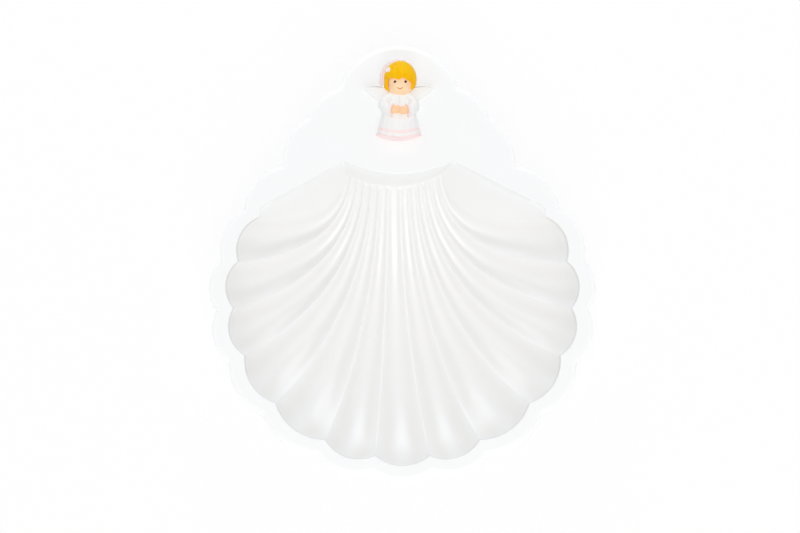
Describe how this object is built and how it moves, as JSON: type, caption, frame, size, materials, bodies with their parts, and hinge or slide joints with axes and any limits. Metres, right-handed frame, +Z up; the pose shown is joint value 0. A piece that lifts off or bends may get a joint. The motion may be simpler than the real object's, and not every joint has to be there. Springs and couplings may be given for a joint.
{
  "type": "baptismal shell",
  "caption": "Scallop-shaped dish with a fluted basin, a flat scalloped rim and a flat handle that carries a small lying angel figure, for pouring water at a baptism.",
  "frame": {"origin": "on the surface that the foot ring stands on, under the middle of the whole part", "axes": "+Y towards the handle, +Z up out of the basin, +X to the right of someone who looks along +Y"},
  "size_m": [0.123, 0.1414, 0.0312],
  "materials": {
    "pearl_plastic": "pearl gloss",
    "white_resin": "satin paint",
    "pink_resin": "satin paint",
    "skin_resin": "satin paint",
    "yellow_resin": "satin paint",
    "glue": "clear set glue"
  },
  "bodies": {
    "root": {"shell_dish": "pearl_plastic", "robe": "white_resin", "left_sleeve": "white_resin", "right_sleeve": "white_resin", "wing_pair": "white_resin", "hair_flower": "white_resin", "left_cuff": "pink_resin", "right_cuff": "pink_resin", "veil": "pink_resin", "flower_bead": "pink_resin", "left_hand": "skin_resin", "right_hand": "skin_resin", "head": "skin_resin", "hair": "yellow_resin", "robe_glue_pad": "glue", "head_glue_pad": "glue"}
  },
  "joints": []
}
